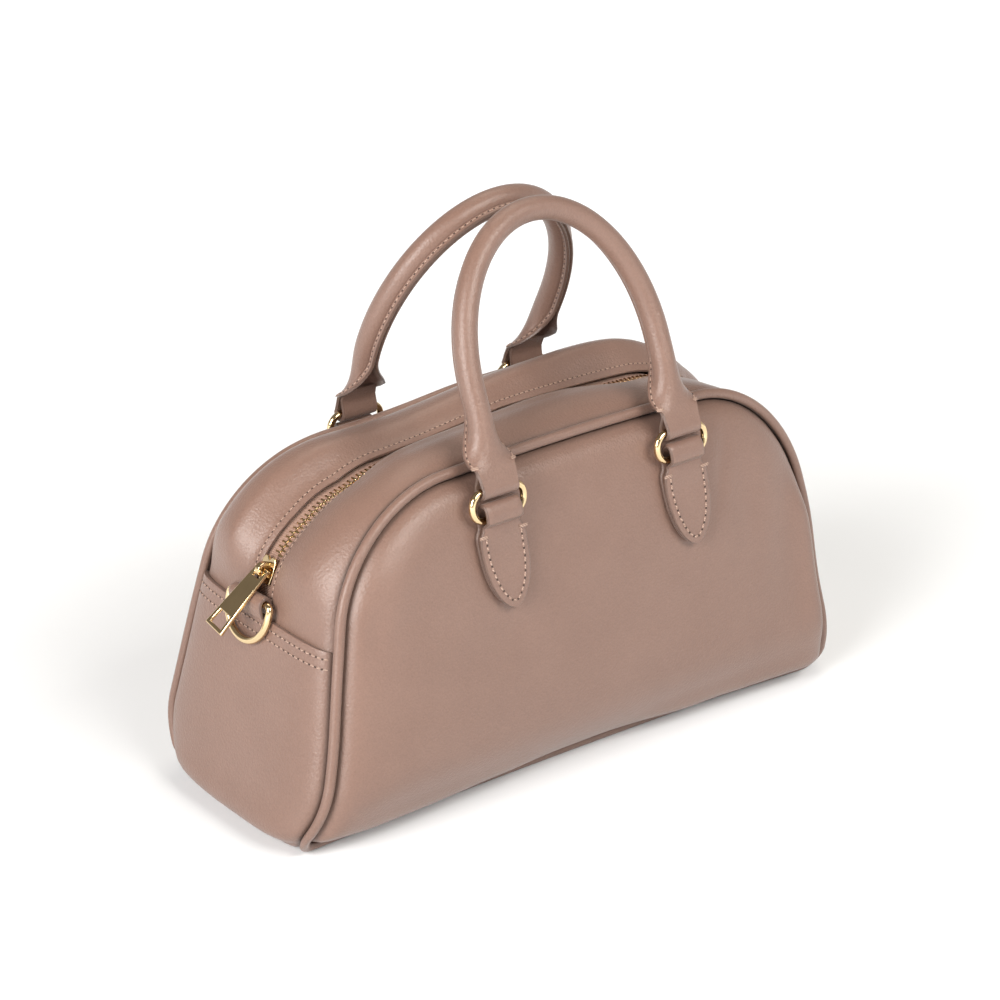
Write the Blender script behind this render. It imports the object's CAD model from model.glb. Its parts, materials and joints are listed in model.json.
"""The bowling bag's looks: soft leather shells, a metal zip, rings, rolled handles and stitching.

Shapes are worked out in millimetres, with the part's own sizes, and become metres in mesh_piece.
"""
import json
from math import asin, atan2, cos, pi, sin, tan
from types import SimpleNamespace as Sizes

import bmesh
import bpy
import numpy as np
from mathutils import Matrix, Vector


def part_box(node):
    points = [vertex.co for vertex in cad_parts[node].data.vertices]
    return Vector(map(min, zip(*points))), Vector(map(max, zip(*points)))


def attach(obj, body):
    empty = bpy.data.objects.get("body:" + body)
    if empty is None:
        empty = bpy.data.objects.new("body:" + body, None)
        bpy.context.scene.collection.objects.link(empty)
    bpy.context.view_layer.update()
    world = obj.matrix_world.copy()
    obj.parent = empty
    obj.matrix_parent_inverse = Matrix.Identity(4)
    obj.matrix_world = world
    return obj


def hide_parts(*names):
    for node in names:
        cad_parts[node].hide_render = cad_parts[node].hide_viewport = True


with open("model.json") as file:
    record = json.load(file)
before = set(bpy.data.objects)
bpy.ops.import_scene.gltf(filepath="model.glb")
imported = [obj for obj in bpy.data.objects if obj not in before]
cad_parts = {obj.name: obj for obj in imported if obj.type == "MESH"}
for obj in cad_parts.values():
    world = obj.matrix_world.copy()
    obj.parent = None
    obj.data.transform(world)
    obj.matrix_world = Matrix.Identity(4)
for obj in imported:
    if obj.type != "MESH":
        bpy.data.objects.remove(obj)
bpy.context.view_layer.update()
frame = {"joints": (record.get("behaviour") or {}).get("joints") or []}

MM = 0.001
RADIAN = pi / 180
SIDES = {"front": -1, "back": 1}
ENDS = {"left": -1, "right": 1}
BAG_MIDDLE = np.array([0, 0, 76])

# Leather, and the clearance between sewn pieces
WALL = 2
GAP = 0.3
STRAP = 1.8

# The outline that the piping follows, seen from the front
HALF_LENGTH = 150
OUTLINE_HEIGHT = 153
FLOOR_GAP = 2.7
CORNER_R = 9
SHOULDER_R = 61
END_LEAN = 9.5 * RADIAN
CROWN_DROP = 6
PIPING_R = 2.5
PIPING_SHOWN = 2.35
WELT = Sizes(length=6.5, root=12 * RADIAN, tip=0.35, towards=225 * RADIAN, dyed=(0.2, 0.8))
TOP_SHIFT = 0.03

# The depth from the bag's middle to each piping
BASE_DEPTH = 63
DEPTH_TAPER = 0.145
TOP_DRAW = {"front": 0, "back": 6.4}
DRAW_POWER = 6
TUCK = {"front": 16, "back": 20}
TUCK_HEIGHT = 36
TUCK_POWER = 2.2
TWIST = 0.03
BASE_BOW = 0.065
SETTLE_HEIGHT = 60
FRONT_KICK = Sizes(out=2, x=(80, 150), y=(0, 40))
RIGHT_BULGE = Sizes(out=2.4, height=86, reach=26, x=(96, 140), y=(0, 40))
LEFT_SKEW = Sizes(turn=0.08, x=(60, 150))
LEFT_LIFT = Sizes(rise=3.5, x=(105, 150), y=(5, 55))
EASE = Sizes(reach=15, samples=11)
BACK_SLUMP = {
    "x": (-112, -70, -40, 4, 64, 84, 114),
    "drop": (0, 3.6, 3.4, 0, 0, 2, 8),
    "y": (-6, 36),
    "z": (84, 130),
}

# The puffed faces, steep at the seam and then slow, and the soft dents in them
FACE_PUFF = [Sizes(rise=5.7, run=2.3), Sizes(rise=9, run=28)]
FACE_SINK = 0.7
FACE_MIDDLE = 77
FACE_RINGS = Sizes(count=30, power=1.4)
PUFF_START = 0.4
DENT_CLEAR = 14
# Each dent: x, z, half its length and width, its turn in degrees and how far it comes out
DENTS = {
    "front": [
        (-108, 121, 20, 13, 35, 1.3),
        (-124, 98, 20, 7, 70, -1.2),
        (-112, 104, 9, 3.5, 60, 0.4),
        (-20, 118, 40, 22, 10, -1.0),
        (80, 122, 18, 5, 69, -0.8),
        (92, 112, 30, 9, 100, -0.6),
        (-31, 125, 18, 5, -55, -0.7),
        (108, 98, 30, 9, 80, 0.7),
        (-50, 84, 26, 10, 20, -0.6),
        (40, 46, 60, 18, -8, 0.8),
    ],
    "back": [
        (102, 118, 20, 12, -35, 1.1),
        (118, 98, 18, 7, -65, -1.0),
        (10, 115, 42, 20, -8, -1.0),
        (-95, 108, 28, 9, 80, -0.9),
        (-30, 44, 60, 18, 6, 0.8),
    ],
}

# Both faces hang over the base piping towards their lower corners, and not in the middle
SAG = Sizes(drop=4.6, out=3.6, height=7, reach=5.5, middle=-4, x=(10, 100), seam=1.8)
SAG_FADES = [
    Sizes(share=0.42, towards=1, x=(46, 80)),
    Sizes(share=0.5, towards=1, x=(130, 150)),
    Sizes(share=0.52, towards=-1, x=(30, 66)),
    Sizes(share=0.3, towards=-1, x=(120, 150)),
]
RIGHT_ROLL = Sizes(rise=6, run=2, reach=14, x=(92, 134), z=(84, 112), foot=(8, 46))
END_SAG = Sizes(drop=2, out=1.5, height=12, reach=8, clear=9, power=8)

# The band round the base and ends, and its lapped edge
END_SWELL = Sizes(foot=9, lap=7.5)
SEAM_RISE = 0.3
SWELL_HEIGHT = 12
BASE_FLATNESS = 30
END_FLATNESS = 4.5
END_PUFF = Sizes(rise=2.7, run=1.7)
LAP_HEIGHT = 96.6
LAP_TILT = Sizes(rise=3.2, start=60)
LAP_STITCHES = Sizes(below=(3.6, 8.4), reach=0.985, count=80)
STRIP_FOOT = 84

# The zip and the strips beside it
ZIP_GAP = 5
LAP_BLEND = (99, 123)
TAPE_INNER = 0.2
TAPE_OUTER = 14
TAPE_THICK = 1
STRIP_STITCHES = Sizes(inset=2.4, pitch=2.9, size=0.75, above_lap=1)
PILLOW = {
    "x": (-140, -95, -60, 0, 30, 60, 110),
    "front": (4.5, 4.5, 7, 7, 7, 3.4, -2),
    "back": (3.6, 2.8, 1.5, 4.5, 6.5, 8.5, 8),
}
ZIP_LIP = {
    "x": (-100, -74, 24, 46, 90),
    "front": (0.4, 3.6, 3.6, 0.2, 0.2),
    "back": (0.9, 0.9, 0.9, 0.4, 0.2),
}
LIP_AT = {"front": 6, "back": 1.5}
LIP_REACH = {"front": 5, "back": 2.6}
SEAM_PUFF = {"x": (-104, -72), "front": (1.7, 1.7), "back": (7.2, 3.6)}
SEAM_PUFF_RUN = 2.8
SEAM_PUFF_FROM = (0, 0.5)
ZIP_LEVEL = {
    "x": (-140, -134, -117, -95, -45, 0, 85, 117, 134, 140),
    "level": (0.4, 3.2, -3.7, -8.7, -7.6, -4.6, -4.4, -3.2, 3.2, 0.4),
}
TOOTH_PITCH = 2.5
TOOTH = Sizes(rise=1.05, chamfer=0.24)
TOOTH_HALF = [(0, -0.45), (0.42, -0.3), (0.6, 0.05), (0.6, 0.9), (0.46, 1.15), (0.46, 3.1)]
TEETH_ABOVE_LAP = 8
SLIDER_HEIGHT = 113
SLIDER = Sizes(length=12, width=9, neck=5.4, waist=-1, shoulder=2, corner=1.4, notch=1.6)
SLIDER_RAIL = 1.2
SLIDER_POST = {"back": 3.4, "back_half": 1, "front": 1.8, "front_half": 0.6}
SLIDER_LAYERS = {
    "upper": Sizes(thick=1.3, middle=-0.65),
    "lower": Sizes(thick=1.2, middle=-5.2),
    "post": Sizes(thick=4, middle=-3),
    "rail": Sizes(thick=1.7, middle=-1.7),
}
SLIDER_BEVEL = 0.28
BRIDGE = Sizes(inner=1.8, outer=3.4, width=2.6, rise=2.3)
PULL = Sizes(length=33, top=8.6, bottom=13.5, thick=1.8, bar=1)
PULL_EYE = Sizes(start=1, to=4.4, width=5.2)
PULL_FRAME = Sizes(start=24.5, to=31.2, margin=2)
PULL_BEVEL = 0.5
PULL_LEAN = 44 * RADIAN
PULL_SKEW = -10 * RADIAN

# Handles, rings and tabs
WIRE_R = 1.6
FOLD_MIDDLE = WIRE_R + GAP + STRAP / 2
HANDLE_LEAN = {"front": 22 * RADIAN, "back": 24 * RADIAN}
HANDLE_X = 53.6
HANDLE_LEG = 43
HANDLE_RISE = {"front": 68.4, "back": 67.2}
ARCH_SHIFT = {"front": 0, "back": 2}
TUBE_R = 4.6
FLANGE = 3
FLANGE_FROM = 0.84
FLANGE_SLACK = 0.08
STRAP_TIP = 0.35
HANDLE_END = {
    "along": (-4, 0, 4, 9, 11.5, 16, 23, 31, 39),
    "width": (18.6, 18.8, 19.6, 20.4, 24, 25.6, 25.6, 24, 22),
    "curl": (0, 0, 0, 0.3, 2.4, 5.2, 7.5, 8, 8),
}
OPENING = (9, 36)
HANDLE_CURL_POWER = 2.6
HANDLE_FOLD = Sizes(length=13, width=(19.4, 18.6), closing=(0.5, 8), closed=1.03)
HANDLE_STITCHES = Sizes(start=10.5, across=(0.07, 0.93), pitch=3.1, size=0.75)
RING = Sizes(width=28.6, height=13, corner=6.2)
RING_LEAN = 6 * RADIAN
TAB_LAYER = 2
TAB_SKEW = 0.07
TAB_SLACK = 0.06
TAB_LENGTH = 40.4
TAB_POINT = 38
TAB_TIP = 0.6
TAB_LOOP = Sizes(deep=3.6, tall=7, out=0.4, foot=3, bulge=1.2, flat=16)
TAB_STITCHES = Sizes(start=7, inset=3.2, size=1.15, tack=5.6, tack_out=1.6, tack_up=0.4)
TAB_OUTLINE = {
    "below": (-9, 0, 4.6, 6.4, 10, 16, 22, 28, 32, 35, 37, 39, 40, TAB_LENGTH),
    "width": (19.6, 20, 21, 24.6, 26, 26, 25, 22.3, 19.2, 15.8, 12.8, 8.8, 5, 2),
}

# The D-rings and their leather loops
END_WIRE_R = 1.65
END_LOOP = 1.7
END_FOLD_MIDDLE = END_WIRE_R + GAP + END_LOOP / 2
END_RING = Sizes(width=28.6, drop=18.8, corner=2)
END_RING_LEAN = 14 * RADIAN
END_BAR_HEIGHT = 103
END_BAR_Y = 2.5
END_TAB = Sizes(width=23, foot=0.4)
END_TAB_RETURN = {"out": (0.97, 0.8, 0.55), "down": (0.3, 0.6, 1)}

# The darker dye in the seams and on cut edges: its colour, strength and reach from a seam
EDGE_DYE = (0.05, 0.028, 0.02)
SEAM_DYE = Sizes(strength=0.88, reach=0.9)
CUT_DYE = Sizes(strength=0.6, reach=0.6)

# Stitches: pitch, and half the length, width and height of one
STITCH_PITCH = 3.2
STITCH_HALF = (1.15, 0.44, 0.32)
STITCH_RISE = 0.06
STITCH_SIDES = {"around": 8, "upright": 5}
HOLE_HALF = (0.52, 0.5, 0.17)
TACK = Sizes(steps=(-0.45, 0, 0.45), half_width=0.34, half_height=0.42, length=4)

# How finely shapes are divided
COUNTS = Sizes(top=46, base=24, corner=14, side=34, lap_side=44, strip_side=12, shoulder=60)
GUSSET_COLUMNS = 61
STRIP_COLUMNS = 36
WELT_SIDES = 16
WIRE_SIDES = 16
SLIDER_SEARCH = 4000
EDGE_SAMPLES = 4
EDGE_BATCH = 1500
NEAREST_SQUARE = 0.02
SAME_POINT = 1e-6
EDGE_ROUND = Sizes(share=0.3, segments=2, angle=60)


# Small helpers


def mix(a, b, share):
    return a + (b - a) * share


def smooth(low, high, value):
    share = np.clip((value - low) / (high - low), 0, 1)
    return share * share * (3 - 2 * share)


def unit(v):
    return v / np.maximum(np.linalg.norm(v, axis=-1, keepdims=True), 1e-9)


def column(table, key, value, name):
    return np.interp(value, table[key], table[name])


def eased(table, value, name):
    """A table's column along x with its corners rounded off."""
    shifts = np.linspace(-EASE.reach, EASE.reach, EASE.samples)
    return np.mean([column(table, "x", value + shift, name) for shift in shifts], 0)


def outward(normals, points):
    """Unit normals that point away from the bag's middle."""
    facing = np.sign((normals * (points - BAG_MIDDLE)).sum(-1, keepdims=True))
    return unit(normals) * facing


def add_object(name, data):
    made = bpy.data.objects.new(name, data)
    bpy.context.scene.collection.objects.link(made)
    return made


# Materials


def feed_socket(socket, value):
    """Sets a socket, or links it to a pair of a node and its output's name."""
    if isinstance(value, tuple) and isinstance(value[0], bpy.types.Node):
        node, output = value
        socket.id_data.links.new(node.outputs[output], socket)
    else:
        socket.default_value = value


def feed(node, **values):
    """Sets a node's inputs and options by name."""
    for key, value in values.items():
        if key in node.inputs:
            feed_socket(node.inputs[key], value)
        else:
            setattr(node, key, value)
    return node


def add_node(tree, kind, **values):
    return feed(tree.nodes.new(f"ShaderNode{kind}"), **values)


def add_math(tree, operation, *terms):
    node = add_node(tree, "Math", operation=operation)
    for socket, term in zip(node.inputs, terms):
        feed_socket(socket, term)
    return node, "Value"


def noise(tree, where, scale, detail, roughness=0.5):
    node = add_node(tree, "TexNoise", Vector=where, Scale=scale, Detail=detail, Roughness=roughness)
    return node, "Fac"


def colour_ramp(tree, source, stops):
    ramp = add_node(tree, "ValToRGB", Fac=source)
    for element, (place, colour) in zip(ramp.color_ramp.elements, stops):
        element.position = place
        element.color = (*colour, 1)
    return ramp, "Color"


def node_material(name):
    """A new material, its node tree, its shader and the object's own coordinates."""
    material = bpy.data.materials.new(name)
    material.use_nodes = True
    tree = material.node_tree
    return material, tree, tree.nodes["Principled BSDF"], (add_node(tree, "TexCoord"), "Object")


def leather_material(name, dark, light, roughness):
    material, tree, shader, where = node_material(name)
    cloud = noise(tree, where, 34, 4, 0.6)
    pebble = add_node(tree, "TexVoronoi", Vector=where, Scale=820, feature="SMOOTH_F1", Smoothness=0.5)
    pore = noise(tree, where, 1250, 4, 0.7)
    crease = noise(tree, where, 160, 3)
    base = colour_ramp(tree, cloud, [(0.3, dark), (0.7, light)])
    tint = add_node(tree, "MixRGB", blend_type="MULTIPLY", Fac=0.42, Color1=base, Color2=pore)
    dye = add_node(tree, "Attribute", attribute_name="dye")
    edges = add_node(tree, "MixRGB", Fac=(dye, "Fac"), Color1=(tint, "Color"), Color2=(*EDGE_DYE, 1))
    grain = add_math(tree, "MULTIPLY_ADD", (pebble, "Distance"), 0.8, pore)
    soft = add_node(tree, "Bump", Strength=0.07, Distance=0.0006, Height=crease)
    fine = add_node(tree, "Bump", Strength=0.65, Distance=0.0002, Height=grain, Normal=(soft, "Normal"))
    limits = {"To Min": roughness - 0.06, "To Max": roughness + 0.08}
    spread = add_node(tree, "MapRange", Value=pore, **limits)
    feed(shader, Roughness=(spread, "Result"), Normal=(fine, "Normal"), **{
        "Base Color": (edges, "Color"), "Specular IOR Level": 0.5, "Sheen Weight": 0.09})
    return material


def gold_material(name, colour, roughness):
    material, tree, shader, where = node_material(name)
    wear = noise(tree, where, 90, 2)
    limits = {"To Min": roughness * 0.8, "To Max": roughness * 1.3}
    spread = add_node(tree, "MapRange", Value=wear, **limits)
    darker = tuple(0.88 * c for c in colour)
    base = colour_ramp(tree, wear, [(0.25, darker), (0.7, colour)])
    feed(shader, Metallic=1, Roughness=(spread, "Result"), **{"Base Color": base})
    return material


def woven_material(name, dark, light):
    material, tree, shader, where = node_material(name)
    rib = add_node(tree, "TexWave", Vector=where, Scale=420, Distortion=0.6, bands_direction="DIAGONAL")
    thread = noise(tree, where, 1400, 2)
    both = add_math(tree, "MULTIPLY", (rib, "Fac"), thread)
    base = colour_ramp(tree, both, [(0.05, dark), (0.5, light)])
    bump = add_node(tree, "Bump", Strength=0.5, Distance=0.0003, Height=(rib, "Fac"))
    feed(shader, Roughness=0.85, Normal=(bump, "Normal"), **{"Base Color": base, "Specular IOR Level": 0.25})
    return material


leather = leather_material("leather", (0.216, 0.126, 0.095), (0.233, 0.138, 0.105), 0.35)
gold = gold_material("gold_metal", (0.78, 0.59, 0.34), 0.1)
tape_cloth = woven_material("zip_tape", (0.24, 0.14, 0.105), (0.42, 0.28, 0.22))
thread_pale = woven_material("thread", (0.26, 0.17, 0.132), (0.42, 0.305, 0.25))
hole_dark = leather_material("stitch_hole", (0.04, 0.02, 0.014), (0.07, 0.036, 0.026), 0.8)


# Meshes


def seam_dye(distance):
    return SEAM_DYE.strength * np.exp(-(distance / SEAM_DYE.reach) ** 2)


def mesh_piece(name, points, faces, material, body="bag", nodes=(), sharp=40, dye=None):
    mesh = bpy.data.meshes.new(name)
    mesh.from_pydata((np.asarray(points, float).reshape(-1, 3) * MM).tolist(), [], faces)
    mesh.materials.append(material)
    if dye is not None:
        values = np.broadcast_to(dye, np.shape(points)[:2]).astype(float).ravel()
        mesh.attributes.new("dye", "FLOAT", "POINT").data.foreach_set("value", values)
    mesh.polygons.foreach_set("use_smooth", [True] * len(mesh.polygons))
    mesh.set_sharp_from_angle(angle=sharp * RADIAN)
    piece = add_object(name, mesh)
    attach(piece, body)
    if nodes:
        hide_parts(*nodes)
    return piece


def grid_faces(rows, columns, loop_rows=False, loop_columns=False):
    """Four-cornered faces between the points of a grid."""
    faces = []
    for r in range(rows if loop_rows else rows - 1):
        here, there = r * columns, (r + 1) % rows * columns
        for c in range(columns if loop_columns else columns - 1):
            d = (c + 1) % columns
            faces.append((here + c, here + d, there + d, there + c))
    return faces


def join_corners(piece, turn=True):
    """Joins points that coincide, and turns the faces of a closed piece outwards."""
    shape = bmesh.new()
    shape.from_mesh(piece.data)
    bmesh.ops.remove_doubles(shape, verts=shape.verts, dist=SAME_POINT)
    bmesh.ops.dissolve_degenerate(shape, edges=shape.edges, dist=SAME_POINT / 10)
    if turn:
        bmesh.ops.recalc_face_normals(shape, faces=shape.faces)
    shape.to_mesh(piece.data)
    shape.free()


def bevelled(piece, width, segments=3, angle=35):
    bevel = piece.modifiers.new("bevel", "BEVEL")
    bevel.width = width * MM
    bevel.segments = segments
    bevel.limit_method = "ANGLE"
    bevel.angle_limit = angle * RADIAN


def shell(name, grid, material, thick, loop=False, **piece):
    """A skin through a grid of points, with its thickness inside and its edges rounded."""
    rows, columns = grid.shape[:2]
    faces = grid_faces(rows, columns, loop_rows=loop)
    r, c = rows // 2, columns // 2
    corner = grid[r, c]
    normal = np.cross(grid[r, c + 1] - corner, grid[r + 1, c] - corner)
    if np.dot(normal, corner - BAG_MIDDLE) < 0:
        faces = [face[::-1] for face in faces]
    made = mesh_piece(name, grid, faces, material, **piece)
    join_corners(made, turn=False)
    solid = made.modifiers.new("thickness", "SOLIDIFY")
    solid.thickness = thick * MM
    solid.offset = -1
    bevelled(made, EDGE_ROUND.share * thick, EDGE_ROUND.segments, EDGE_ROUND.angle)


def loft(name, rings, material, loop=False, **piece):
    """A solid through closed rings of points, capped at both ends unless it is a loop."""
    rings = np.asarray(rings, float)
    count, sides = rings.shape[:2]
    faces = grid_faces(count, sides, loop_rows=loop, loop_columns=True)
    if not loop:
        faces += [tuple(range(sides))[::-1], tuple((count - 1) * sides + i for i in range(sides))]
    join_corners(mesh_piece(name, rings, faces, material, **piece))


def wire(name, path, radius, middle, across, up, **piece):
    """A closed gold wire along a flat path, given across and up from its middle."""
    path = middle + path[:, :1] * across + path[:, 1:] * up
    ahead = unit(np.roll(path, -1, 0) - np.roll(path, 1, 0))
    lift = unit(np.cross(across, up))
    out = unit(np.cross(ahead, lift))
    turn = np.linspace(0, 2 * pi, WIRE_SIDES, endpoint=False)[None, :, None]
    rings = path[:, None] + radius * (np.cos(turn) * out[:, None] + np.sin(turn) * lift)
    loft(name, rings, gold, loop=True, **piece)


# Small bodies repeated along seams and the zip


def ball(around, upright):
    """A unit ball's points and faces."""
    tilt = np.linspace(-pi / 2, pi / 2, upright + 1)[1:-1, None]
    turn = np.linspace(0, 2 * pi, around, endpoint=False)[None]
    middle = np.broadcast_arrays(np.cos(tilt) * np.cos(turn), np.cos(tilt) * np.sin(turn), np.sin(tilt))
    points = np.r_[np.stack(middle, -1).reshape(-1, 3), [[0, 0, -1], [0, 0, 1]]]
    last = (upright - 1) * around
    faces = grid_faces(upright - 1, around, loop_columns=True)
    for i in range(around):
        j = (i + 1) % around
        faces += [(last, j, i), (last + 1, last - around + i, last - around + j)]
    return points, faces


def scatter(name, shape, middles, axes, material, **piece):
    """Copies of a shape at each middle, along three axes that carry its scale."""
    points, faces = shape
    placed = middles[:, None] + np.einsum("pk,nkd->npd", points, axes)
    count = len(points)
    shifted = [tuple(i + n * count for i in face) for n in range(len(middles)) for face in faces]
    mesh_piece(name, placed, shifted, material, **piece)


def spaced(path, normals, pitch):
    """Places along a path at an even pitch: middles, directions and normals."""
    length = np.r_[[0], np.cumsum(np.linalg.norm(np.diff(path, axis=0), axis=1))]
    count = max(1, round(length[-1] / pitch))
    at = (np.arange(count) + 0.5) * length[-1] / count

    def read(values, places):
        return np.stack([np.interp(places, length, values[:, k]) for k in range(3)], 1)

    step = 0.5
    ahead = read(path, np.clip(at + step, 0, length[-1])) - read(path, np.clip(at - step, 0, length[-1]))
    return read(path, at), unit(ahead), unit(read(normals, at))


class Seam:
    """Collects stitches and their holes for one body, and makes them as two pieces."""

    def __init__(self, name, body):
        self.name, self.body = name, body
        self.stitches, self.holes = [], []

    def row(self, path, normals, pitch=STITCH_PITCH, size=1):
        middles, ahead, normal = spaced(path, normals, pitch)
        side = np.cross(normal, ahead)
        gap = np.linalg.norm(middles[1] - middles[0]) / 2
        for kept, half, shift in ((self.stitches, STITCH_HALF, 0), (self.holes, HOLE_HALF, gap)):
            axes = np.stack([ahead * half[0], side * half[1] * size, normal * half[2] * size], 1)
            kept.append((middles + ahead * shift + normal * STITCH_RISE, axes))

    def sew(self, path, beside, pitch=STITCH_PITCH, size=1):
        """A row along a path on a surface that also holds the points beside it."""
        normals = outward(np.cross(np.gradient(path, axis=0), beside - path), path)
        self.row(path, normals, pitch, size)

    def tack(self, middle, across, normal, length=TACK.length):
        """A few close stitches laid over an edge."""
        ahead = unit(np.cross(normal, across))
        axes = np.stack([across * length / 2, ahead * TACK.half_width, normal * TACK.half_height])[None]
        for step in TACK.steps:
            self.stitches.append(((middle + ahead * step)[None], axes))

    def make(self):
        kinds = {"stitches": (self.stitches, thread_pale), "holes": (self.holes, hole_dark)}
        for kind, (rows, material) in kinds.items():
            middles, axes = (np.concatenate(values) for values in zip(*rows))
            scatter(f"{self.name}_{kind}", ball(**STITCH_SIDES), middles, axes, material, body=self.body)


bag_seams = Seam("bag", "bag")


# The outline and the surfaces measured from it

CORNER_X = HALF_LENGTH - CORNER_R
CORNER_Z = FLOOR_GAP + CORNER_R
SHOULDER_Z = FLOOR_GAP + OUTLINE_HEIGHT - SHOULDER_R
SIDE_BOTTOM_X = CORNER_X + CORNER_R * cos(END_LEAN)
SIDE_BOTTOM_Z = CORNER_Z + CORNER_R * sin(END_LEAN)
SIDE_TOP_Z = SHOULDER_Z + SHOULDER_R * sin(END_LEAN)


def side_x(z):
    return SIDE_BOTTOM_X - (z - SIDE_BOTTOM_Z) * tan(END_LEAN)


SHOULDER_X = side_x(SIDE_TOP_Z) - SHOULDER_R * cos(END_LEAN)


def line_run(start, end, angle, count):
    """Rows of x, z and outward angle from one point towards another, without the last one."""
    x, z = np.linspace(start, end, count, endpoint=False).T
    return np.c_[x, z, np.full(count, angle)]


def arc_run(x, z, radius, low, high, count, endpoint=False):
    turn = np.linspace(low, high, count, endpoint)
    return np.c_[x + radius * np.cos(turn), z + radius * np.sin(turn), turn]


def arc_path(*arcs):
    """Points along arcs with both ends: middle, radius, first and last turn, and a count."""
    return np.concatenate([arc_run(*arc, endpoint=True)[:, :2] for arc in arcs])


def side_run(low, high, count):
    return line_run((side_x(low), low), (side_x(high), high), END_LEAN, count)


TOP_Z = FLOOR_GAP + OUTLINE_HEIGHT
BASE = np.r_[
    line_run((0, FLOOR_GAP), (SHOULDER_X, FLOOR_GAP), -pi / 2, COUNTS.top),
    line_run((SHOULDER_X, FLOOR_GAP), (CORNER_X, FLOOR_GAP), -pi / 2, COUNTS.base),
]
CORNER = arc_run(CORNER_X, CORNER_Z, CORNER_R, -pi / 2, END_LEAN, COUNTS.corner)
SHOULDER = arc_run(SHOULDER_X, SHOULDER_Z, SHOULDER_R, END_LEAN, pi / 2, COUNTS.shoulder)
TOP = line_run((SHOULDER_X, TOP_Z), (0, TOP_Z), pi / 2, COUNTS.top)
TOP_MIDDLE = np.array([[0, TOP_Z, pi / 2]])


def mirrored(rows):
    return (rows * [-1, 1, -1] + [0, 0, pi])[::-1]


def stations(rows):
    """Columns x, z, outward x, outward z and the face's middle, with the top's drop and shift."""
    x, z, angle = rows.T
    share = np.clip((z - FLOOR_GAP) / (OUTLINE_HEIGHT / 2) - 1, 0, 1)
    z = z - CROWN_DROP * (x / HALF_LENGTH) ** 2 * share
    middle = np.clip(x, -SHOULDER_X, SHOULDER_X)
    return np.c_[x + TOP_SHIFT * (z - FACE_MIDDLE), z, np.cos(angle), np.sin(angle), middle]


LAP_SIDE = side_run(SIDE_BOTTOM_Z, LAP_HEIGHT, COUNTS.lap_side)
LOWER = np.r_[BASE, CORNER, LAP_SIDE, side_run(LAP_HEIGHT, LAP_HEIGHT, 1)]
UPPER = np.r_[side_run(STRIP_FOOT, SIDE_TOP_Z, COUNTS.strip_side), SHOULDER, TOP]
ROUND = np.r_[BASE, CORNER, side_run(SIDE_BOTTOM_Z, SIDE_TOP_Z, COUNTS.side), SHOULDER, TOP]
LAP = stations(np.r_[mirrored(LOWER[1:]), LOWER])
STRIP = stations(np.r_[UPPER, TOP_MIDDLE, mirrored(UPPER)])
OUTLINE = stations(np.r_[ROUND, TOP_MIDDLE, mirrored(ROUND[1:])])


def end_row(height, end):
    """The outline's station at a height on one end."""
    row = side_run(height, height, 1)
    return stations(row if end > 0 else mirrored(row))


def place(at, out, y):
    """Points at a distance out of the outline, as a grid of stations and widths."""
    x = at[:, 0:1] + at[:, 2:3] * out
    z = at[:, 1:2] + at[:, 3:4] * out
    return np.stack(np.broadcast_arrays(x, y, z), -1)


def settled(points):
    """Turns and narrows the base, shapes its corners and lowers the back's top edge in places."""
    x, y, z = np.moveaxis(np.asarray(points, float), -1, 0)
    low = np.clip(1 - z / SETTLE_HEIGHT, 0, 1) ** 2
    bow = BASE_BOW * low * np.clip(1 - (x / HALF_LENGTH) ** 2, 0, 1)
    kick = FRONT_KICK.out * low * smooth(*FRONT_KICK.x, x) * smooth(*FRONT_KICK.y, -y)
    bulge = RIGHT_BULGE.out * smooth(*RIGHT_BULGE.x, x) * smooth(*RIGHT_BULGE.y, -y)
    bulge = bulge * np.exp(-((z - RIGHT_BULGE.height) / RIGHT_BULGE.reach) ** 2)
    skew = LEFT_SKEW.turn * low * y * smooth(*LEFT_SKEW.x, -x)
    lift = LEFT_LIFT.rise * low * smooth(*LEFT_LIFT.x, -x) * smooth(*LEFT_LIFT.y, y)
    slump = eased(BACK_SLUMP, x, "drop") * smooth(*BACK_SLUMP["y"], y) * smooth(*BACK_SLUMP["z"], z)
    return np.stack([x + skew + bulge, y * (1 - bow) - TWIST * low * x - kick, z + lift - slump], -1)


def piping_depth(z, side):
    height = z - FLOOR_GAP
    draw = TOP_DRAW[side] * np.clip(height / OUTLINE_HEIGHT, 0, 2) ** DRAW_POWER
    tuck = TUCK[side] * np.clip(1 - height / TUCK_HEIGHT, 0, 1) ** TUCK_POWER
    return BASE_DEPTH - DEPTH_TAPER * height - draw - tuck


def band_half(at, side):
    return piping_depth(at[:, 1:2], side) - PIPING_R - GAP


def band_out(at, share):
    """The lower band's outer surface: flat under the base, swollen at the ends."""
    z = at[:, 1:2]
    rise = smooth(0, SWELL_HEIGHT, z - FLOOR_GAP)
    swell = mix(END_SWELL.foot, END_SWELL.lap, np.clip(z / LAP_HEIGHT, 0, 1))
    flatness = mix(BASE_FLATNESS, END_FLATNESS, smooth(0, 0.3, rise))
    inset = (1 - np.abs(share)) * band_half(at, "front")
    puff = END_PUFF.rise * rise * (1 - np.exp(-inset / END_PUFF.run))
    swell = mix(FLOOR_GAP, swell - END_PUFF.rise, rise)
    return puff + mix(SEAM_RISE, swell, 1 - np.abs(share) ** flatness)


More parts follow.
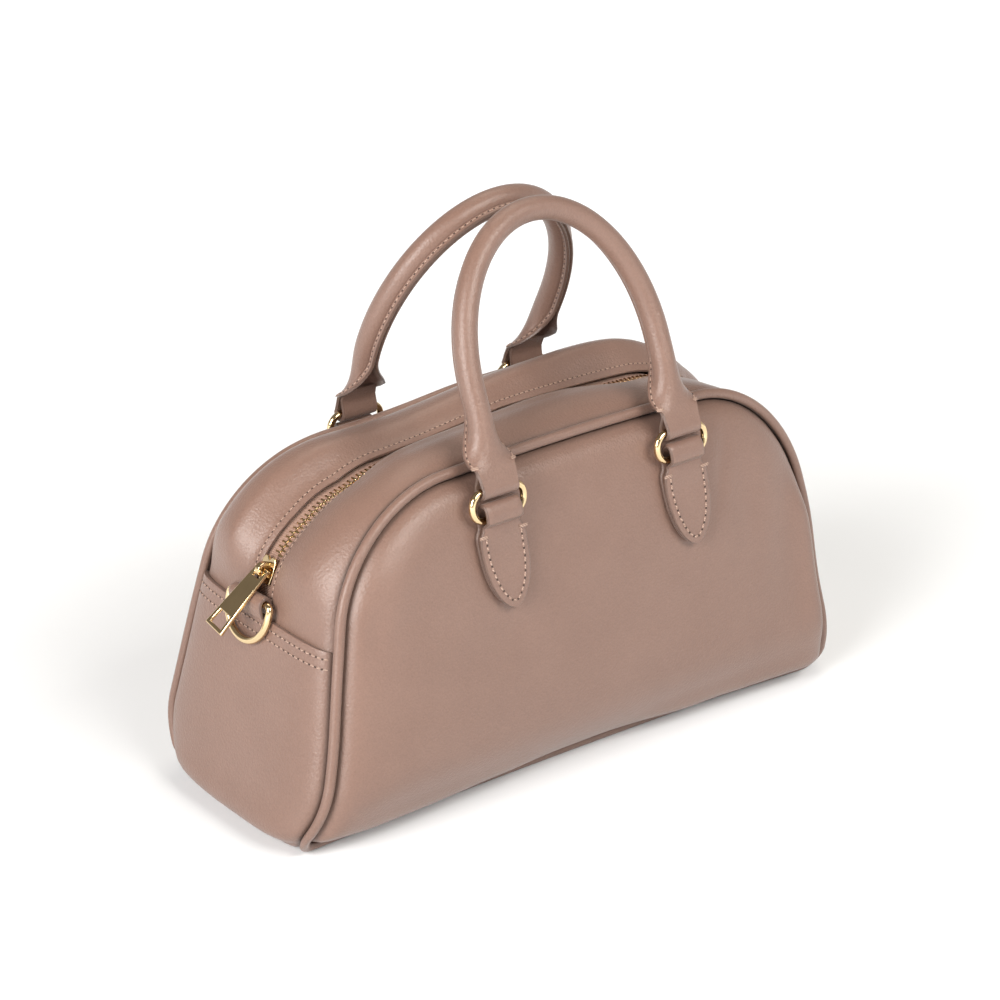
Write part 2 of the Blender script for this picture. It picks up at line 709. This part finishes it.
def strip_out(at, share, side):
    """A strip's outer surface between the zip's edge and the piping."""
    half = band_half(at, side)
    y = mix(ZIP_GAP, half, share)
    lapped = band_out(at, y / half) - WALL - GAP
    zip_edge = column(ZIP_LEVEL, "x", at[:, 0:1], "level") + TAPE_THICK / 2 + GAP + WALL
    pillow = eased(PILLOW, at[:, 0:1], side)
    free = mix(zip_edge, SEAM_RISE, share) + pillow * np.sin(pi * share)
    return mix(lapped, free, smooth(*LAP_BLEND, at[:, 1:2]))


def strip_skin(at, share, side):
    """A strip's surface with the lip along the zip and the steep rise at the piping."""
    width = band_half(at, side) - ZIP_GAP
    lip = eased(ZIP_LIP, at[:, 0:1], side)
    lip = lip * np.exp(-((share * width - LIP_AT[side]) / LIP_REACH[side]) ** 2)
    seam = eased(SEAM_PUFF, at[:, 0:1], side) * (1 - np.exp(-(1 - share) * width / SEAM_PUFF_RUN))
    extra = (lip + seam * smooth(*SEAM_PUFF_FROM, share)) * smooth(*LAP_BLEND, at[:, 1:2])
    return strip_out(at, share, side) + extra


FACE_EDGE = place(OUTLINE, -PIPING_R - GAP, 0)[:, 0][:, [0, 2]]


def edge_distance(x, z):
    """A soft distance from a face's sewn edge, without ridges where two edges are equally near."""
    start, end = FACE_EDGE, np.roll(FACE_EDGE, -1, 0)
    shares = (np.arange(EDGE_SAMPLES) + 0.5) / EDGE_SAMPLES
    points = np.concatenate([mix(start, end, s) for s in shares])
    weights = np.tile(np.linalg.norm(end - start, axis=1) / len(shares), len(shares))
    flat = np.c_[np.ravel(x), np.ravel(z)]
    total = np.empty(len(flat))
    for first in range(0, len(flat), EDGE_BATCH):
        batch = slice(first, first + EDGE_BATCH)
        square = ((flat[batch, None] - points[None]) ** 2).sum(-1)
        total[batch] = (weights / np.maximum(square, NEAREST_SQUARE) ** 2).sum(1)
    return ((total / (pi / 2)) ** (-1 / 3)).reshape(np.shape(x))


def dents(x, z, side):
    total = np.zeros(np.shape(x))
    for middle_x, middle_z, length, width, turn, out in DENTS[side]:
        cosine, sine = cos(turn * RADIAN), sin(turn * RADIAN)
        dx, dz = x - middle_x, z - middle_z
        along, across = dx * cosine + dz * sine, dz * cosine - dx * sine
        total = total + out * np.exp(-(along / length) ** 2 - (across / width) ** 2)
    return total


def face_depth(x, z, side):
    """How far a face's outside stands from the bag's middle."""
    edge = np.maximum(edge_distance(x, z) - PUFF_START, 0)
    puff = sum(part.rise * (1 - np.exp(-edge / part.run)) for part in FACE_PUFF)
    if side == "front":
        roll = RIGHT_ROLL.rise * (1 - np.exp(-edge / RIGHT_ROLL.run))
        roll = roll * np.exp(-(edge / RIGHT_ROLL.reach) ** 2)
        roll = roll * smooth(*RIGHT_ROLL.foot, z) * (1 - smooth(*RIGHT_ROLL.z, z))
        puff = puff + roll * smooth(*RIGHT_ROLL.x, x)
    return piping_depth(z, side) - FACE_SINK + puff + dents(x, z, side) * smooth(0, DENT_CLEAR, edge)


def sagged(points, side):
    """Lets a face hang over its base seam, down and outwards."""
    x, y, z = np.moveaxis(points, -1, 0)
    height = z - FLOOR_GAP - PIPING_R - GAP
    share = smooth(*SAG.x, np.abs(x - SAG.middle)) * smooth(0, SAG.seam, edge_distance(x, z))
    share = share * np.exp(-((height - SAG.height) / SAG.reach) ** 2)
    share = share * (1 - sum(fade.share * smooth(*fade.x, x * fade.towards) for fade in SAG_FADES))
    return np.stack([x, y + SIDES[side] * SAG.out * share, z - SAG.drop * share], -1)


def end_sagged(points, share):
    """Tilts the lapped edge, and lets the lower corners hang outwards between the two pipings."""
    x, y, z = np.moveaxis(points, -1, 0)
    tilt = LAP_TILT.rise * share * smooth(LAP_TILT.start, LAP_HEIGHT, z)
    x, z = x - np.sign(x) * tan(END_LEAN) * tilt, z + tilt
    amount = np.exp(-((z - END_SAG.height) / END_SAG.reach) ** 2) * smooth(0, END_SAG.clear, z)
    amount = amount * smooth(CORNER_X, HALF_LENGTH, np.abs(x)) * (1 - share ** END_SAG.power)
    return np.stack([x + np.sign(x) * END_SAG.out * amount, y, z - END_SAG.drop * amount], -1)


# Faces, piping, the lower band and the strips


def make_face(side):
    shares = np.linspace(0, 1, FACE_RINGS.count) ** FACE_RINGS.power
    x = mix(FACE_EDGE[:, :1], OUTLINE[:, 4:5], shares)
    z = mix(FACE_EDGE[:, 1:], FACE_MIDDLE, shares)
    y = SIDES[side] * face_depth(x, z, side)
    grid = settled(sagged(np.stack([x, y, z], -1), side))
    dye = seam_dye(edge_distance(x, z))
    shell(f"{side}_panel_leather", grid, leather, WALL, loop=True, nodes=[f"{side}_panel"], dye=dye)


def welt_section():
    """The piping and its flange, sewn in between face and band: out and depth, and the dye."""
    towards, root, tip = WELT.towards, WELT.root, WELT.tip
    round_part = arc_path((0, 0, PIPING_SHOWN, towards + root, towards - root + 2 * pi, WELT_SIDES))
    along = np.array([cos(towards), sin(towards)])
    across = np.array([-along[1], along[0]])
    flange = np.array([along * WELT.length - across * tip, along * WELT.length + across * tip])
    section = np.r_[round_part, flange]
    return section, SEAM_DYE.strength * smooth(*WELT.dyed, unit(section) @ along)


def make_piping(side):
    section, dye = welt_section()
    y = SIDES[side] * (piping_depth(OUTLINE[:, 1:2], side) + section[None, :, 1])
    rings = settled(place(OUTLINE, section[None, :, 0], y))
    loft(f"{side}_piping_leather", rings, leather, loop=True, nodes=[f"{side}_piping"], dye=dye)


def gusset_points(at, share):
    half = np.where(share < 0, band_half(at, "front"), band_half(at, "back"))
    return settled(end_sagged(place(at, band_out(at, share), share * half), share))


def strip_points(at, share, side):
    y = SIDES[side] * mix(ZIP_GAP, band_half(at, side), share)
    return settled(place(at, strip_skin(at, share, side), y))


def make_gusset():
    share = np.sin(np.linspace(-pi / 2, pi / 2, GUSSET_COLUMNS))[None]
    dye = seam_dye((1 - np.abs(share)) * band_half(LAP, "front"))
    shell("lower_gusset_leather", gusset_points(LAP, share), leather, WALL, nodes=["lower_gusset"], dye=dye)
    sewn = np.linspace(-LAP_STITCHES.reach, LAP_STITCHES.reach, LAP_STITCHES.count)[None]
    for below in LAP_STITCHES.below:
        for end in ENDS.values():
            row = end_row(LAP_HEIGHT - below, end)
            above = row + [0, 1, 0, 0, 0]
            bag_seams.sew(gusset_points(row, sewn)[0], gusset_points(above, sewn)[0])


def make_strip(side):
    share = (1 - np.cos(np.linspace(0, pi, STRIP_COLUMNS)))[None] / 2
    dye = seam_dye((1 - share) * (band_half(STRIP, side) - ZIP_GAP))
    shell(f"top_strip_{side}_leather", strip_points(STRIP, share, side), leather, WALL,
          nodes=[f"top_strip_{side}"], dye=dye)
    shown = STRIP[STRIP[:, 1] > LAP_HEIGHT + STRIP_STITCHES.above_lap]
    inset = STRIP_STITCHES.inset / (band_half(shown, side) - ZIP_GAP)
    path = strip_points(shown, inset, side)[:, 0]
    beside = strip_points(shown, inset + 0.01, side)[:, 0]
    bag_seams.sew(path, beside, STRIP_STITCHES.pitch, STRIP_STITCHES.size)


def make_tape(side):
    near = strip_out(STRIP, 0, side) - WALL - GAP
    reach = (TAPE_OUTER - ZIP_GAP) / (band_half(STRIP, side) - ZIP_GAP)
    under = np.minimum(near, strip_out(STRIP, reach, side) - WALL - GAP) - GAP
    y = np.array([[TAPE_INNER, 1, 2, 3, 4, ZIP_GAP, 8, TAPE_OUTER]])
    out = mix(near, under, np.clip((y - ZIP_GAP) / (TAPE_OUTER - ZIP_GAP), 0, 1))
    grid = settled(place(STRIP, out, SIDES[side] * y))
    shell(f"zip_tape_{side}_cloth", grid, tape_cloth, TAPE_THICK, nodes=[f"zip_tape_{side}"])


# The zip's teeth, slider and pull

PULL_SWING = next(joint for joint in frame["joints"] if joint["name"] == "zip_pull_swing")
PULL_HINGE = np.array(PULL_SWING["pos_m"]) / MM


def zip_middle(at):
    """Points along the middle of the zip's thickness."""
    return settled(place(at, strip_out(at, 0, "front") - WALL - GAP - TAPE_THICK / 2, 0))[:, 0]


def shoulder_station(height):
    arc = arc_run(SHOULDER_X, SHOULDER_Z, SHOULDER_R, END_LEAN, pi / 2, SLIDER_SEARCH)
    rows = stations(mirrored(arc))
    return rows[np.argmin(np.abs(rows[:, 1] - height))][None]


def tooth():
    """One tooth, a head on a narrower leg, chamfered above and below: points and faces."""
    rise, inset = TOOTH.rise, TOOTH.chamfer
    outline = np.array(TOOTH_HALF + [(-x, y) for x, y in TOOTH_HALF[:0:-1]])
    low, high = outline.min(0), outline.max(0)
    inner = np.clip(outline * [1 - inset / high[0], 1], low + inset, high - inset)
    levels = [(inner, -rise), (outline, inset - rise), (outline, rise - inset), (inner, rise)]
    points = np.concatenate([np.c_[shape, np.full(len(shape), level)] for shape, level in levels])
    count = len(outline)
    faces = grid_faces(len(levels), count, loop_columns=True)
    faces += [tuple(range(count))[::-1], tuple(range(3 * count, 4 * count))]
    return points, faces


def make_teeth(start):
    path = zip_middle(STRIP)
    right_end = np.argmax(STRIP[:, 1] > LAP_HEIGHT + TEETH_ABOVE_LAP)
    stop = np.argmax((STRIP[:, 0] < 0) & (STRIP[:, 1] < start))
    normals = np.insert(STRIP[right_end:stop, 2:4], 1, 0, axis=1)
    middles, ahead, normal = spaced(path[right_end:stop], normals, TOOTH_PITCH / 2)
    across = np.cross(normal, ahead)
    sign = np.where(np.arange(len(middles)) % 2, 1, -1)[:, None]
    axes = np.stack([ahead * sign, across * sign, normal], 1)
    scatter("zip_teeth", tooth(), middles, axes, gold, nodes=["zip_chain"])


def plate(outlines, thick):
    """A flat plate from an outline and its holes: points and faces about its middle plane."""
    shape = bmesh.new()
    for outline in outlines:
        corners = [shape.verts.new((*p, -thick / 2)) for p in outline]
        for a, b in zip(corners, corners[1:] + corners[:1]):
            shape.edges.new((a, b))
    bmesh.ops.triangle_fill(shape, edges=shape.edges[:], use_beauty=True)
    lifted = bmesh.ops.extrude_face_region(shape, geom=shape.faces[:])["geom"]
    top = [v for v in lifted if isinstance(v, bmesh.types.BMVert)]
    bmesh.ops.translate(shape, verts=top, vec=(0, 0, thick))
    bmesh.ops.recalc_face_normals(shape, faces=shape.faces)
    shape.verts.index_update()
    points = np.array([v.co for v in shape.verts])
    faces = [tuple(v.index for v in face.verts) for face in shape.faces]
    shape.free()
    return points, faces


def joined(parts):
    points, faces, count = [], [], 0
    for part_points, part_faces in parts:
        points.append(part_points)
        faces += [tuple(i + count for i in face) for face in part_faces]
        count += len(part_points)
    return np.concatenate(points), faces


def make_slider(at):
    out = np.array([at[0, 2], 0, at[0, 3]])
    up = np.array([at[0, 3], 0, -at[0, 2]])
    across = np.cross(out, up)
    half, top, low = SLIDER.length / 2, SLIDER.width / 2, SLIDER.neck / 2 + 1
    waist, corner = SLIDER.waist, SLIDER.corner
    shoulder, notch = half - SLIDER.shoulder, half - SLIDER.notch
    level = -BRIDGE.rise

    def layer(name, outline):
        points, faces = plate([outline], SLIDER_LAYERS[name].thick)
        return points + [0, 0, level + SLIDER_LAYERS[name].middle], faces

    right = [(waist, top), (shoulder, top), (half, top - corner), (half, corner)]
    left = [(x, -y) for x, y in right[::-1]]
    shield = [(-half, -low), (-half, low), *right, (notch, 0), *left]
    post = [(half - SLIDER_POST[end], sign * SLIDER_POST[f"{end}_half"])
            for end, sign in (("back", -1), ("back", 1), ("front", 1), ("front", -1))]
    parts = [layer("upper", shield), layer("lower", shield), layer("post", post)]
    for sign in (-1, 1):
        outside = [(-half, low), (waist, top), (shoulder, top)]
        inside = [(x, y - SLIDER_RAIL) for x, y in outside[::-1]]
        parts.append(layer("rail", [(x, y * sign) for x, y in outside + inside]))
    turn = np.linspace(0, pi, 13)
    inner, outer = BRIDGE.inner, BRIDGE.outer
    arch = [(outer, level), *zip(outer * np.cos(turn), outer * np.sin(turn)), (-outer, level),
            (-inner, level), *zip(-inner * np.cos(turn), inner * np.sin(turn)), (inner, level)]
    bridge, bridge_faces = plate([arch], BRIDGE.width)
    points, faces = joined([*parts, (bridge[:, [0, 2, 1]], bridge_faces)])
    world = PULL_HINGE + points @ np.stack([up, across, out])
    piece = mesh_piece("zip_slider_metal", world, faces, gold, nodes=["zip_slider"], sharp=30)
    join_corners(piece)
    bevelled(piece, SLIDER_BEVEL)


def band_shape(low, high, half_low, half_high):
    return [(-half_low, -low), (-half_high, -high), (half_high, -high), (half_low, -low)]


def pull_half(along):
    return mix(PULL.top, PULL.bottom, along / PULL.length) / 2


def make_pull():
    eye = PULL_EYE.width / 2
    window = [pull_half(at) - PULL_FRAME.margin for at in (PULL_FRAME.start, PULL_FRAME.to)]
    points, faces = plate([
        band_shape(-PULL.bar, PULL.length, pull_half(0), pull_half(PULL.length)),
        band_shape(PULL_EYE.start, PULL_EYE.to, eye, eye),
        band_shape(PULL_FRAME.start, PULL_FRAME.to, *window),
    ], PULL.thick)
    cosine, sine = cos(PULL_SKEW), sin(PULL_SKEW)
    x, y, z = points.T
    turned = np.c_[x * cosine - y * sine, x * sine + y * cosine, z]
    along = np.array([sin(PULL_LEAN), 0, cos(PULL_LEAN)])
    across = np.array([0, -1, 0])
    world = PULL_HINGE + turned @ np.stack([across, along, np.cross(across, along)])
    piece = mesh_piece("zip_pull_metal", world, faces, gold, body="zip_pull", nodes=["zip_pull"], sharp=30)
    bevelled(piece, PULL_BEVEL)


# Rings, tabs and handles


def ring_middle(side, end):
    low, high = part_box(f"handle_ring_{side}_{end}")
    return np.array((low + high) / 2) / MM


def ring_rise(side):
    return np.array([0, -SIDES[side] * sin(RING_LEAN), cos(RING_LEAN)])


def make_ring(side, end):
    corner = RING.corner
    x, y = RING.width / 2 - corner, RING.height / 2 - corner
    corners = [(x, y), (-x, y), (-x, -y), (x, -y)]
    path = arc_path(*[(*at, corner, k * pi / 2, (k + 1) * pi / 2, 13) for k, at in enumerate(corners)])
    wire(f"ring_{side}_{end}", path, WIRE_R, ring_middle(side, end), [1, 0, 0], ring_rise(side),
         body=f"{side}_handle", nodes=[f"handle_ring_{side}_{end}"])


def strap_section(half, thick):
    """A strap's rounded section, from one edge round to the same edge."""
    r = thick / 2
    right = arc_path((half - r, 0, r, -pi / 2, pi / 2, 7))
    flat = np.linspace(1, -1, 9)[1:-1, None]
    upper = np.concatenate([flat * (half - r), np.full_like(flat, r)], 1)
    return np.r_[right, upper, -right, -upper]


def cut_dye(section):
    """Dye on a strap section's two rounded edges."""
    across = np.abs(section[:, 0])
    inset = (across.max() - across) / np.abs(section[:, 1]).max()
    return CUT_DYE.strength * smooth(0, CUT_DYE.reach, 1 - inset)


def tab_bulge(below):
    """How far a tab's outer layer stands off where it comes down from its loop."""
    return TAB_LOOP.bulge * (1 - smooth(TAB_LOOP.foot, TAB_LOOP.flat, below))


def make_tab(side, end):
    """Two leather layers, one folded in a tall loop over the ring's lower bar into the other."""
    bar = ring_middle(side, end) - ring_rise(side) * RING.height / 2
    sign = SIDES[side]
    below = np.r_[np.linspace(TAB_LENGTH, TAB_POINT, 12), np.linspace(TAB_POINT - 1, TAB_LOOP.foot, 28)]
    rows = [(b, 0, None) for b in below]
    rows += [(0, None, turn) for turn in np.linspace(0, 1, 25) * pi]
    rows += [(b, 1, None) for b in below[::-1]]
    rings = []
    for b, layer, turn in rows:
        width = column(TAB_OUTLINE, "below", b, "width")
        section = strap_section(max(width / 2, TAB_TIP), TAB_LAYER - TAB_SLACK)
        x = bar[0] + TAB_SKEW * b + section[:, 0]
        if turn is None:
            z = np.full_like(x, bar[2] - b)
            lift = section[:, 1] * (1 if layer else -1) + GAP + TAB_LAYER * (0.5 + layer)
            lift = lift + layer * tab_bulge(b)
            rings.append(np.c_[x, sign * (face_depth(x, z, side) + lift), z])
        else:
            deep, tall = TAB_LOOP.deep + section[:, 1], TAB_LOOP.tall + section[:, 1]
            y = sign * bar[1] + TAB_LOOP.out - deep * np.cos(turn)
            rings.append(np.c_[x, sign * y, bar[2] + tall * np.sin(turn)])
    dye = cut_dye(strap_section(TAB_OUTLINE["width"][0] / 2, TAB_LAYER))
    loft(f"tab_{side}_{end}", rings, leather, nodes=[f"handle_tab_{side}_{end}"], dye=dye)
    stitch_tab(bar, side)


def stitch_tab(bar, side):
    inset = TAB_STITCHES.inset
    below = np.linspace(TAB_STITCHES.start, TAB_LENGTH - inset, 80)
    half = np.maximum(column(TAB_OUTLINE, "below", below + inset / 2, "width") / 2 - inset, 0)
    path = np.r_[np.c_[-half, below], np.c_[half, below][::-1]]
    x, z = bar[0] + path[:, 0] + TAB_SKEW * path[:, 1], bar[2] - path[:, 1]

    def surface(x, z):
        lift = GAP + 2 * TAB_LAYER + tab_bulge(bar[2] - z)
        return np.c_[x, SIDES[side] * (face_depth(x, z, side) + lift), z]

    points = surface(x, z)
    normals = outward(np.cross(surface(x + 1, z) - points, surface(x, z + 1) - points), points)
    bag_seams.row(points, normals, size=TAB_STITCHES.size)
    for k in (0, -1):
        edge = points[k] + [np.sign(path[k, 0]) * TAB_STITCHES.tack_out, 0, TAB_STITCHES.tack_up]
        bag_seams.tack(edge, np.array([1.0, 0, 0]), normals[k], TAB_STITCHES.tack)


FLANGE_SHARES = np.linspace(FLANGE_FROM, 1, 7)[1:]
TUBE_SHARES = np.linspace(-FLANGE_FROM, FLANGE_FROM, 37)
LEAF = np.r_[-FLANGE_SHARES[::-1], TUBE_SHARES, FLANGE_SHARES]


def leaf_section(width, curl, opened, lift):
    """The middle of the handle's leather across its width: a tube and flange that open out."""
    closing = pi - asin((STRAP / 2 + FLANGE_SLACK) / TUBE_R)
    turn = np.clip(LEAF / FLANGE_FROM, -1, 1) * closing
    beyond = np.clip((np.abs(LEAF) - FLANGE_FROM) / (1 - FLANGE_FROM), 0, 1) * FLANGE
    rolled = np.c_[TUBE_R * np.sin(turn), TUBE_R * np.cos(turn) - beyond]
    flat = np.c_[LEAF * width / 2, lift - curl * np.abs(LEAF) ** HANDLE_CURL_POWER]
    return mix(rolled, flat, opened)


def skinned(middle, thick):
    """A closed section round an open middle line, with its outer side first and rounded ends."""
    ahead = unit(np.gradient(middle, axis=0))
    out = np.c_[-ahead[:, 1], ahead[:, 0]] * thick / 2
    tip = ahead * thick * STRAP_TIP
    tips = [middle[-1] + tip[-1], middle[0] - tip[0]]
    return np.r_[middle + out, tips[:1], (middle - out)[::-1], tips[1:]]


def handle_rows(rise_of_arch):
    """One half of the handle, from the strap's inner end round the ring's bar and up to the arch."""
    rows = [(HANDLE_X, along, pi, 0, along) for along in np.linspace(HANDLE_FOLD.length, 1, 7)]
    rows += [(HANDLE_X, 0, turn, 0, 0) for turn in np.linspace(1, 0, 11) * pi]
    rows += [(HANDLE_X, along, 0, 0, along) for along in np.linspace(1, HANDLE_LEG, 36)[:-1]]
    for angle in np.linspace(0, pi / 2, 41):
        slope = atan2(HANDLE_X * sin(angle), rise_of_arch * cos(angle))
        rise = HANDLE_LEG + rise_of_arch * sin(angle)
        rows.append((HANDLE_X * cos(angle), rise, 0, slope, HANDLE_LEG))
    return rows


def make_handle(side):
    feet = {end: ring_middle(side, end) + ring_rise(side) * RING.height / 2 for end in ENDS}
    sine, cosine = sin(HANDLE_LEAN[side]), cos(HANDLE_LEAN[side])
    up = np.array([0, -SIDES[side] * sine, cosine])
    facing = np.array([0, SIDES[side] * cosine, sine])
    half = handle_rows(HANDLE_RISE[side])
    other = [(-x, rise, fold, pi - slope, along) for x, rise, fold, slope, along in half[:-1]][::-1]
    rings = []
    for x, rise, fold, slope, along in half + other:
        closed = smooth(*HANDLE_FOLD.closing, along) if fold == pi else 0
        lift = mix(FOLD_MIDDLE, STRAP * HANDLE_FOLD.closed - FOLD_MIDDLE, closed)
        if fold:
            leaf = leaf_section(mix(*HANDLE_FOLD.width, fold / pi), 0, 1, lift)
        else:
            width, curl = (column(HANDLE_END, "along", along, name) for name in ("width", "curl"))
            leaf = leaf_section(width, curl, 1 - smooth(*OPENING, along), lift)
        section = skinned(leaf, STRAP)
        foot = feet["right" if x > 0 else "left"]
        leg = mix(foot[0], x + ARCH_SHIFT[side], smooth(0, HANDLE_LEG, rise))
        origin = np.array([leg, foot[1], foot[2]]) + up * rise
        across = np.array([cos(slope), 0, 0]) + up * sin(slope)
        front = facing * cos(fold) - up * sin(fold)
        rings.append(origin + section[:, :1] * across + section[:, 1:] * front)
    edge = np.append(np.abs(LEAF) == 1, True)
    dye = CUT_DYE.strength * np.r_[edge, edge]
    loft(f"{side}_handle_leather", rings, leather, body=f"{side}_handle",
         nodes=[f"{side}_handle"], sharp=50, dye=dye)
    stitch_handle(side, half + other, np.array(rings)[:, :len(LEAF)])


def stitch_handle(side, rows, outer):
    """Stitch rows on the flange and down both lips, with a tack at each lip's end."""
    seam = Seam(f"{side}_handle", f"{side}_handle")
    along = np.array([row[4] if not row[2] else -1 for row in rows])
    shown = np.nonzero(along > HANDLE_STITCHES.start)[0]
    for edge in HANDLE_STITCHES.across:
        at = round(edge * (len(LEAF) - 1))
        path = outer[shown, at]
        beside = outer[shown, at + 1] - outer[shown, at - 1]
        normals = unit(np.cross(beside, np.gradient(path, axis=0)))
        core = outer[shown, len(LEAF) // 4:3 * len(LEAF) // 4].mean(1)
        normals = normals * np.sign((normals * (path - core)).sum(1, keepdims=True))
        seam.row(path, normals, HANDLE_STITCHES.pitch, HANDLE_STITCHES.size)
        for k in (0, -1):
            seam.tack(path[k], unit(beside[k]), normals[k])
    seam.make()


# The D-rings and their loops


def end_bar(end):
    at = end_row(END_BAR_HEIGHT, end)
    surface = place(at, band_out(at, np.zeros((1, 1))) - WALL - GAP, 0)[0, 0]
    return np.array([surface[0] + end * (GAP + END_WIRE_R + GAP + END_LOOP), END_BAR_Y, END_BAR_HEIGHT])


def make_end_ring(name, end):
    half, drop, corner = END_RING.width / 2, END_RING.drop, END_RING.corner
    path = arc_path(
        (corner - half, -corner, corner, pi / 2, pi, 7),
        (0, half - drop, half, pi, 2 * pi, 33),
        (half - corner, -corner, corner, 0, pi / 2, 7),
    )
    up = np.array([-end * sin(END_RING_LEAN), 0, cos(END_RING_LEAN)])
    wire(f"d_ring_{name}", path, END_WIRE_R, end_bar(end), [0, 1, 0], up, nodes=[f"end_ring_{name}"])


def make_end_tab(name, end):
    """A leather strap that comes up from the lapped edge, folds over the D-ring's bar and goes back."""
    bar = end_bar(end)
    foot = LAP_HEIGHT + GAP + END_TAB.foot - bar[2]
    reach = END_FOLD_MIDDLE
    path = [(-reach, foot), (-reach, foot / 2)]
    path += [(-reach * cos(t), reach * sin(t)) for t in np.linspace(0, pi, 19)]
    path += [(reach * out, foot * down) for out, down in zip(*END_TAB_RETURN.values())]
    path = np.array(path)
    ahead = unit(np.gradient(path, axis=0))
    normal = np.c_[-ahead[:, 1], ahead[:, 0]]
    section = strap_section(END_TAB.width / 2, END_LOOP)
    rings = []
    for p, n in zip(path, normal):
        spot = p + section[:, 1:] * n
        rings.append(np.c_[bar[0] + end * spot[:, 0], bar[1] + section[:, 0], bar[2] + spot[:, 1]])
    loft(f"loop_{name}", rings, leather, nodes=[f"end_tab_{name}"], dye=cut_dye(section))


make_gusset()
for side in SIDES:
    make_face(side)
    make_piping(side)
    make_strip(side)
    make_tape(side)
    for end in ENDS:
        make_ring(side, end)
        make_tab(side, end)
    make_handle(side)
make_teeth(SLIDER_HEIGHT + SLIDER.length / 2 - 1)
make_slider(shoulder_station(SLIDER_HEIGHT))
make_pull()
for name, end in ENDS.items():
    make_end_ring(name, end)
    make_end_tab(name, end)
bag_seams.make()


# Floor, light and camera

VIEW = Sizes(azimuth=-40.18, elevation=22.85, distance=1.455, lens=115.2)
TARGET = Vector((-0.0029, 0.0024, 0.1103))
FLOOR_HALF = 6
FLOOR_COLOURS = [(0.3, (0.82, 0.845, 0.87)), (0.7, (0.84, 0.865, 0.89))]
LIGHTS = {
    "key": {"place": (-2.3, -0.58, 1.2), "size": (1.3, 1.5), "energy": 92, "colour": (1, 0.97, 0.94)},
    "fill": {"place": (0.3, -1.9, 1.7), "size": (1.7, 1.1), "energy": 58, "colour": (1, 0.97, 0.92)},
    "top": {"place": (0.7, 0.5, 2.0), "size": (1.2, 0.8), "energy": 10, "colour": (1, 0.9, 0.78)},
}
SKY = Sizes(stops=[(0.08, (1, 1, 1)), (0.36, (0.26, 0.245, 0.23))], strength=0.84)
FLOOR_GLOW = {"From Min": 0.25, "From Max": 1.64, "To Min": 0.06, "To Max": 1}


def make_floor():
    corners = [(x * FLOOR_HALF, y * FLOOR_HALF, 0) for x, y in ((-1, -1), (1, -1), (1, 1), (-1, 1))]
    mesh = bpy.data.meshes.new("floor")
    mesh.from_pydata(corners, [], [(0, 1, 2, 3)])
    material, tree, shader, where = node_material("floor")
    cloud = add_node(tree, "TexNoise", Scale=3, Detail=2), "Fac"
    base = colour_ramp(tree, cloud, FLOOR_COLOURS)
    away = add_node(tree, "VectorMath", operation="LENGTH", Vector=where)
    glow = add_node(tree, "MapRange", Value=(away, "Value"), **FLOOR_GLOW)
    feed(shader, Roughness=0.7, **{
        "Base Color": base, "Emission Color": base, "Emission Strength": (glow, "Result")})
    mesh.materials.append(material)
    floor = add_object("floor", mesh)


def make_light(name, place, size, energy, colour):
    light = bpy.data.lights.new(name, "AREA")
    light.shape = "RECTANGLE"
    light.size, light.size_y = size
    light.energy = energy
    light.color = colour
    lamp = add_object(name, light)
    lamp.location = place
    lamp.rotation_euler = (TARGET - Vector(place)).to_track_quat("-Z", "Y").to_euler()


def make_world():
    world = bpy.data.worlds.new("studio")
    world.use_nodes = True
    tree = world.node_tree
    where = (add_node(tree, "TexCoord"), "Generated")
    split = add_node(tree, "SeparateXYZ", Vector=where)
    sky = colour_ramp(tree, (split, "Z"), SKY.stops)
    feed(tree.nodes["Background"], Color=sky, Strength=SKY.strength)
    bpy.context.scene.world = world


def make_camera():
    azimuth, elevation = VIEW.azimuth * RADIAN, VIEW.elevation * RADIAN
    level = cos(elevation)
    back = Vector((sin(azimuth) * level, -cos(azimuth) * level, sin(elevation)))
    data = bpy.data.cameras.new("camera")
    data.lens = VIEW.lens
    camera = add_object("camera", data)
    camera.location = TARGET + back * VIEW.distance
    camera.rotation_euler = (-back).to_track_quat("-Z", "Y").to_euler()
    bpy.context.scene.camera = camera


make_floor()
make_world()
for name, light in LIGHTS.items():
    make_light(name, **light)
make_camera()
bpy.context.scene.view_settings.view_transform = "Standard"
